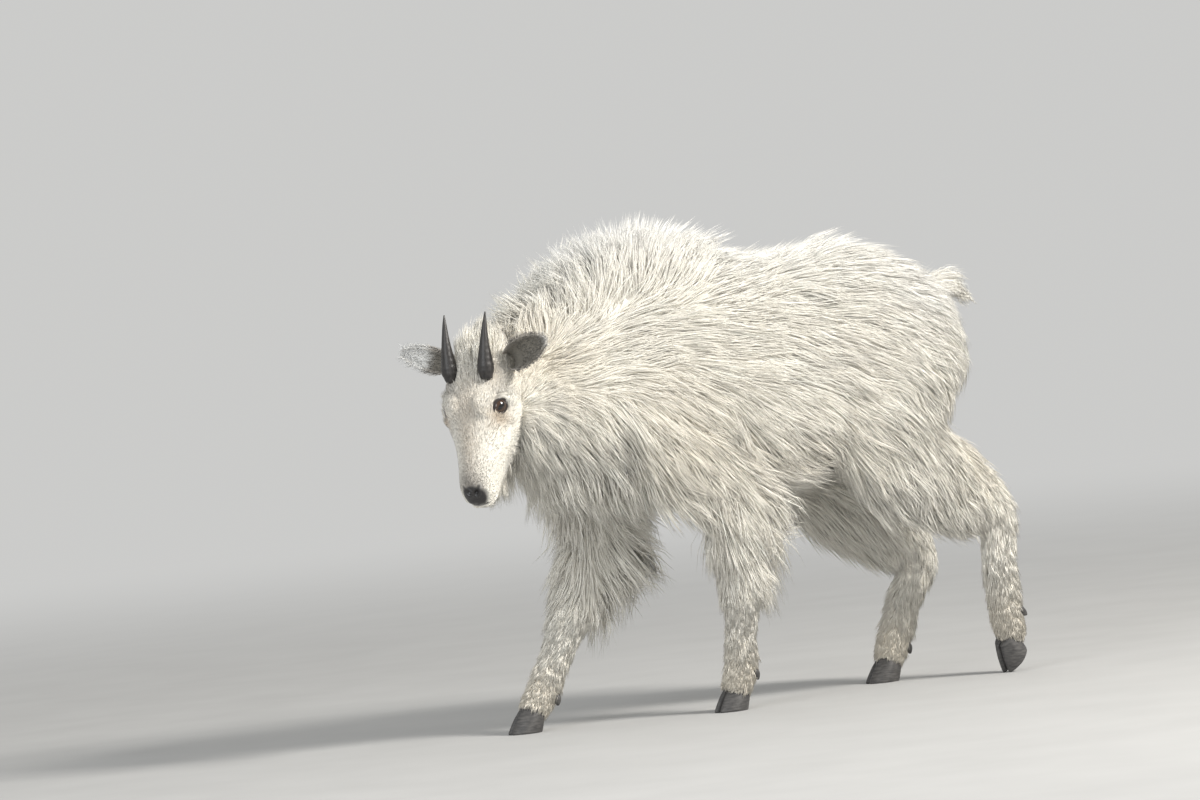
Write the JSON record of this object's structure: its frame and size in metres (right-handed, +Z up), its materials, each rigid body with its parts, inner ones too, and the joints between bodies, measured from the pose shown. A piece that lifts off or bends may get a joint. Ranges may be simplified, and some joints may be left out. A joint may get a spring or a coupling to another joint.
{
  "type": "mountain goat kid, still life-size model",
  "caption": "Life-size still model of a walking mountain goat kid with a long pale coat, short horns, split hooves and its head low and turned.",
  "frame": {"origin": "on the floor, below the middle of the whole goat's bounding box", "axes": "+Z up, +X from the head towards the tail along the body's longest extent, +Y towards the goat's right side"},
  "size_m": [0.8708, 0.2854, 0.6911],
  "materials": {
    "coat": "long soft cream-white fur",
    "ear": "short fur, dark inside and pale at the rim",
    "eye": "wet dark brown",
    "horn": "black horn with a soft sheen",
    "hoof": "dull slate-black hoof horn"
  },
  "bodies": {
    "root": {"dewclaw_fore_left_inner": "hoof", "dewclaw_fore_left_outer": "hoof", "dewclaw_fore_right_inner": "hoof", "dewclaw_fore_right_outer": "hoof", "dewclaw_hind_left_inner": "hoof", "dewclaw_hind_left_outer": "hoof", "dewclaw_hind_right_inner": "hoof", "dewclaw_hind_right_outer": "hoof", "ear_left": "ear", "ear_right": "ear", "eye_left": "eye", "eye_right": "eye", "foreleg_left_lower": "coat", "foreleg_left_upper": "coat", "foreleg_right_lower": "coat", "foreleg_right_upper": "coat", "head": "coat", "hindleg_left_lower": "coat", "hindleg_left_upper": "coat", "hindleg_right_lower": "coat", "hindleg_right_upper": "coat", "hoof_fore_left_inner": "hoof", "hoof_fore_left_outer": "hoof", "hoof_fore_right_inner": "hoof", "hoof_fore_right_outer": "hoof", "hoof_hind_left_inner": "hoof", "hoof_hind_left_outer": "hoof", "hoof_hind_right_inner": "hoof", "hoof_hind_right_outer": "hoof", "horn_left": "horn", "horn_right": "horn", "tail": "coat", "torso": "coat"}
  },
  "joints": []
}
